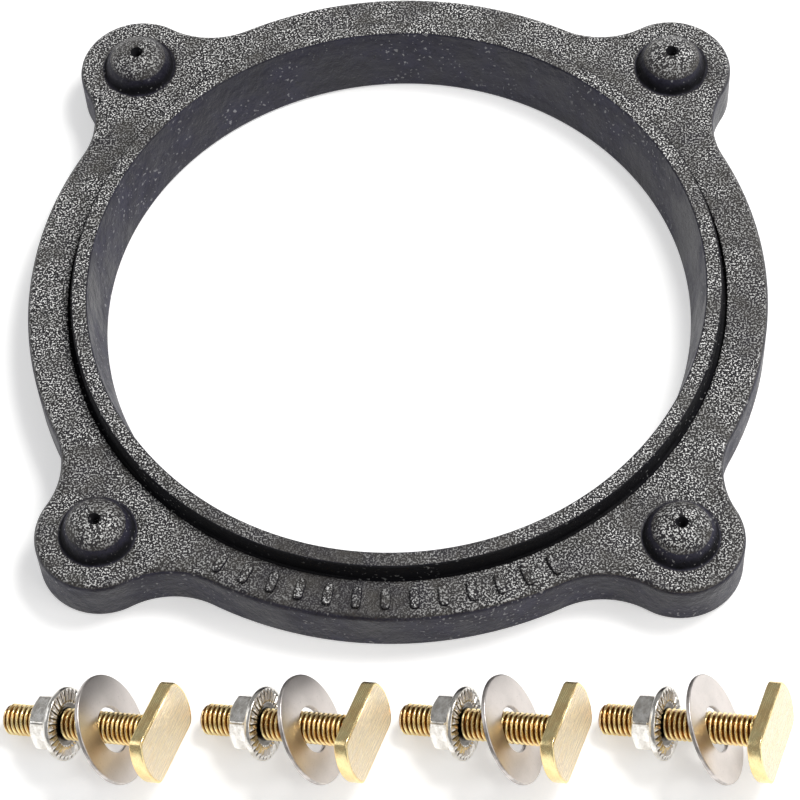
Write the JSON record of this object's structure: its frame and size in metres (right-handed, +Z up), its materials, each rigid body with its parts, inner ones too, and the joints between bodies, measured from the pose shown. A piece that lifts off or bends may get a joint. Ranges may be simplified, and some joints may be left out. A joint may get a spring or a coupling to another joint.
{
  "type": "toilet flange seal kit",
  "caption": "Flat rubber ring with a raised collar round its bore and domed bolt lugs, laid out with T-bolts that each carry a washer and a serrated flange nut.",
  "frame": {"origin": "middle of the whole kit's box, on the surface that the seal and the bolts lie on", "axes": "+Z up through the seal, +Y away from the row of bolts, +X along the row"},
  "size_m": [0.1512, 0.1838, 0.0207],
  "materials": {
    "seal_rubber": "moulded black rubber, grained on top and smoother on the walls",
    "bolt_brass": "bright brass, rolled thread, brushed head",
    "washer_steel": "smooth stamped steel",
    "nut_zinc": "bright zinc plate"
  },
  "bodies": {
    "seal": {"flange_seal": "seal_rubber"},
    "washer_body_1": {"washer_1": "washer_steel"},
    "bolt_body_1": {"t_bolt_1": "bolt_brass"},
    "nut_body_1": {"flange_nut_1": "nut_zinc"},
    "washer_body_2": {"washer_2": "washer_steel"},
    "bolt_body_2": {"t_bolt_2": "bolt_brass"},
    "nut_body_2": {"flange_nut_2": "nut_zinc"},
    "washer_body_3": {"washer_3": "washer_steel"},
    "bolt_body_3": {"t_bolt_3": "bolt_brass"},
    "nut_body_3": {"flange_nut_3": "nut_zinc"},
    "washer_body_4": {"washer_4": "washer_steel"},
    "bolt_body_4": {"t_bolt_4": "bolt_brass"},
    "nut_body_4": {"flange_nut_4": "nut_zinc"}
  },
  "joints": [
    {"name": "bolt_set_1_lift", "type": "slide", "parent": "seal", "child": "washer_body_1", "axis": [0, 0, 1], "range_m": [0, 0.06]},
    {"name": "t_bolt_1_turn", "type": "hinge", "parent": "washer_body_1", "child": "bolt_body_1", "pos_m": [-0.07204, -0.07482, 0.00267], "axis": [0.9174, -0.2287, 0.3256], "range_deg": [-1892, 2612]},
    {"name": "nut_1_travel", "type": "slide", "parent": "washer_body_1", "child": "nut_body_1", "axis": [0.9174, -0.2287, 0.3256], "range_m": [-0.00725, 0.00525]},
    {"name": "bolt_set_2_lift", "type": "slide", "parent": "seal", "child": "washer_body_2", "axis": [0, 0, 1], "range_m": [0, 0.06]},
    {"name": "t_bolt_2_turn", "type": "hinge", "parent": "washer_body_2", "child": "bolt_body_2", "pos_m": [-0.03464, -0.07445, 0.00267], "axis": [0.9174, -0.2287, 0.3256], "range_deg": [-1892, 2612]},
    {"name": "nut_2_travel", "type": "slide", "parent": "washer_body_2", "child": "nut_body_2", "axis": [0.9174, -0.2287, 0.3256], "range_m": [-0.00725, 0.00525]},
    {"name": "bolt_set_3_lift", "type": "slide", "parent": "seal", "child": "washer_body_3", "axis": [0, 0, 1], "range_m": [0, 0.06]},
    {"name": "t_bolt_3_turn", "type": "hinge", "parent": "washer_body_3", "child": "bolt_body_3", "pos_m": [0.00276, -0.07408, 0.00267], "axis": [0.9174, -0.2287, 0.3256], "range_deg": [-1892, 2612]},
    {"name": "nut_3_travel", "type": "slide", "parent": "washer_body_3", "child": "nut_body_3", "axis": [0.9174, -0.2287, 0.3256], "range_m": [-0.00725, 0.00525]},
    {"name": "bolt_set_4_lift", "type": "slide", "parent": "seal", "child": "washer_body_4", "axis": [0, 0, 1], "range_m": [0, 0.06]},
    {"name": "t_bolt_4_turn", "type": "hinge", "parent": "washer_body_4", "child": "bolt_body_4", "pos_m": [0.04016, -0.07371, 0.00267], "axis": [0.9174, -0.2287, 0.3256], "range_deg": [-1892, 2612]},
    {"name": "nut_4_travel", "type": "slide", "parent": "washer_body_4", "child": "nut_body_4", "axis": [0.9174, -0.2287, 0.3256], "range_m": [-0.00725, 0.00525]}
  ],
  "couplings": [
    {"joint": "t_bolt_1_turn", "follows": "nut_1_travel", "rad_per_m": -6283.2},
    {"joint": "t_bolt_2_turn", "follows": "nut_2_travel", "rad_per_m": -6283.2},
    {"joint": "t_bolt_3_turn", "follows": "nut_3_travel", "rad_per_m": -6283.2},
    {"joint": "t_bolt_4_turn", "follows": "nut_4_travel", "rad_per_m": -6283.2}
  ]
}
